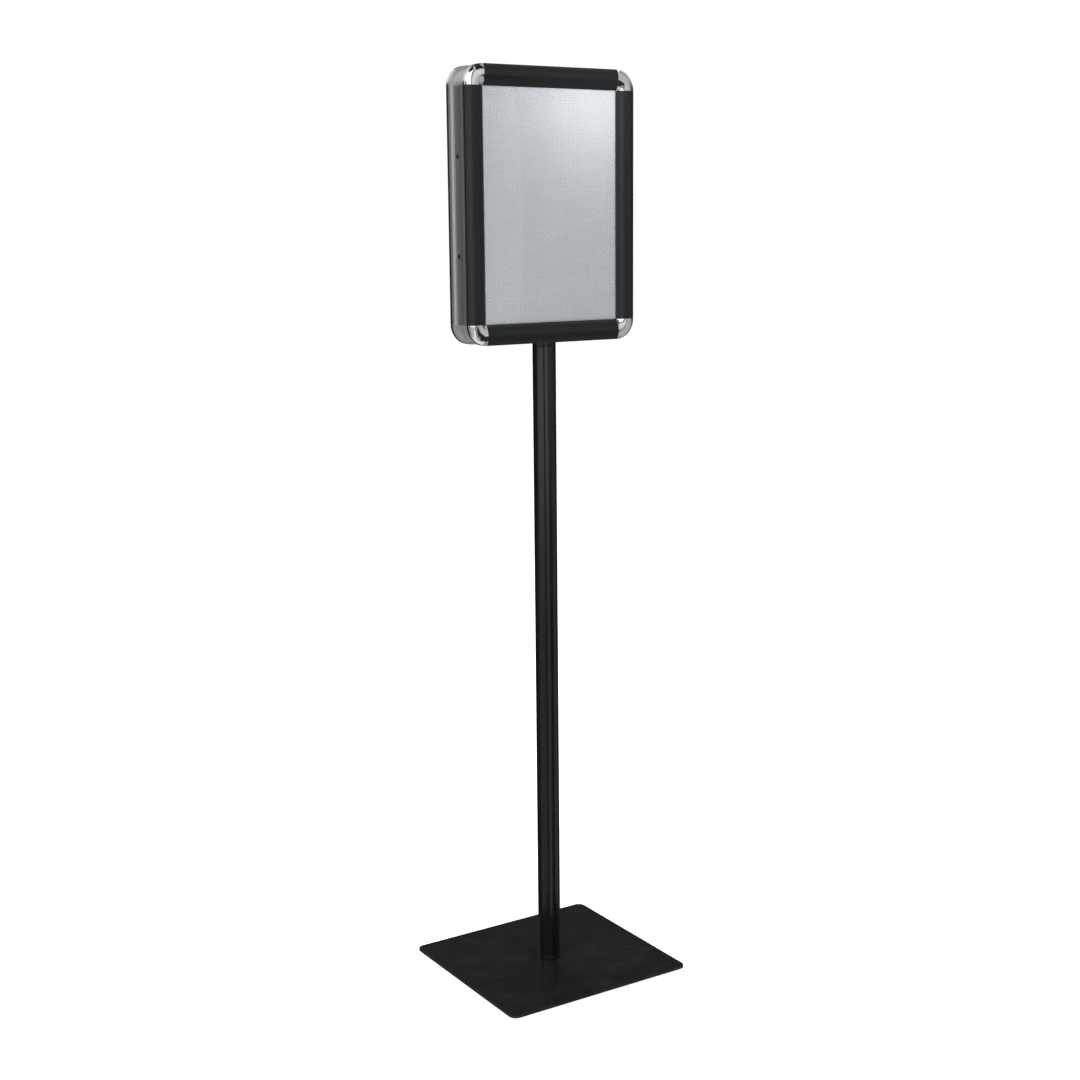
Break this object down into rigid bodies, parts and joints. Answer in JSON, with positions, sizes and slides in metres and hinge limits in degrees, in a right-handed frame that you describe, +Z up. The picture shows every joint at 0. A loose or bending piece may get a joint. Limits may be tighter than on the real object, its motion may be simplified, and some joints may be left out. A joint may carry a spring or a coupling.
{
  "type": "sign stand",
  "caption": "Double-sided snap-frame sign head for A4 sheets on a round pole with a flat rectangular base; black rails hinge open around chrome corners.",
  "frame": {"origin": "centre of the base's footprint on the floor", "axes": "+Z up the pole, -Y the front of the sign, +X to the right seen from the front"},
  "size_m": [0.266, 0.247, 1.142],
  "materials": {
    "black_powder_coat": "satin black powder coat, fine orange peel",
    "black_anodised": "black anodised, satin",
    "silver_aluminium": "silver anodised, satin",
    "grey_joiner": "silver grey, satin",
    "chrome": "polished chrome plate",
    "silver_panel": "silver grey board, matte",
    "clear_cover": "clear anti-glare sheet, fine texture",
    "steel": "zinc plated or spring steel",
    "pad_rubber": "soft black pad"
  },
  "bodies": {
    "stand": {"base_plate": "black_powder_coat", "base_pads": "pad_rubber", "base_bolt": "steel", "pole_base_plug": "black_powder_coat", "pole_tube": "black_powder_coat", "pole_top_plug": "black_powder_coat", "head_bolt": "steel", "head_bolt_washer": "steel", "frame_profile_top": "silver_aluminium", "frame_profile_left": "silver_aluminium", "frame_profile_bottom": "silver_aluminium", "frame_profile_right": "silver_aluminium", "corner_joiner_top_right": "grey_joiner", "corner_joiner_top_left": "grey_joiner", "corner_joiner_bottom_left": "grey_joiner", "corner_joiner_bottom_right": "grey_joiner", "front_backing_panel": "silver_panel", "front_cover_sheet": "clear_cover", "front_leaf_springs": "steel", "front_corner_cap_top_right": "chrome", "front_corner_cap_top_left": "chrome", "front_corner_cap_bottom_left": "chrome", "front_corner_cap_bottom_right": "chrome", "rear_backing_panel": "silver_panel", "rear_cover_sheet": "clear_cover", "rear_leaf_springs": "steel", "rear_corner_cap_top_right": "chrome", "rear_corner_cap_top_left": "chrome", "rear_corner_cap_bottom_left": "chrome", "rear_corner_cap_bottom_right": "chrome"},
    "front_rail_top": {"front_rail_top": "black_anodised"},
    "front_rail_left": {"front_rail_left": "black_anodised"},
    "front_rail_bottom": {"front_rail_bottom": "black_anodised"},
    "front_rail_right": {"front_rail_right": "black_anodised"},
    "rear_rail_top": {"rear_rail_top": "black_anodised"},
    "rear_rail_left": {"rear_rail_left": "black_anodised"},
    "rear_rail_bottom": {"rear_rail_bottom": "black_anodised"},
    "rear_rail_right": {"rear_rail_right": "black_anodised"}
  },
  "joints": [
    {"name": "front_rail_top_hinge", "type": "hinge", "parent": "stand", "child": "front_rail_top", "pos_m": [0, -0.0196, 1.1394], "axis": [-1, 0, 0], "range_deg": [0, 90]},
    {"name": "front_rail_left_hinge", "type": "hinge", "parent": "stand", "child": "front_rail_left", "pos_m": [-0.1174, -0.0196, 0.9785], "axis": [0, 0, -1], "range_deg": [0, 90]},
    {"name": "front_rail_bottom_hinge", "type": "hinge", "parent": "stand", "child": "front_rail_bottom", "pos_m": [0, -0.0196, 0.8176], "axis": [1, 0, 0], "range_deg": [0, 90]},
    {"name": "front_rail_right_hinge", "type": "hinge", "parent": "stand", "child": "front_rail_right", "pos_m": [0.1174, -0.0196, 0.9785], "axis": [0, 0, 1], "range_deg": [0, 90]},
    {"name": "rear_rail_top_hinge", "type": "hinge", "parent": "stand", "child": "rear_rail_top", "pos_m": [0, 0.0196, 1.1394], "axis": [1, 0, 0], "range_deg": [0, 90]},
    {"name": "rear_rail_left_hinge", "type": "hinge", "parent": "stand", "child": "rear_rail_left", "pos_m": [0.1174, 0.0196, 0.9785], "axis": [0, 0, -1], "range_deg": [0, 90]},
    {"name": "rear_rail_bottom_hinge", "type": "hinge", "parent": "stand", "child": "rear_rail_bottom", "pos_m": [0, 0.0196, 0.8176], "axis": [-1, 0, 0], "range_deg": [0, 90]},
    {"name": "rear_rail_right_hinge", "type": "hinge", "parent": "stand", "child": "rear_rail_right", "pos_m": [-0.1174, 0.0196, 0.9785], "axis": [0, 0, 1], "range_deg": [0, 90]}
  ]
}
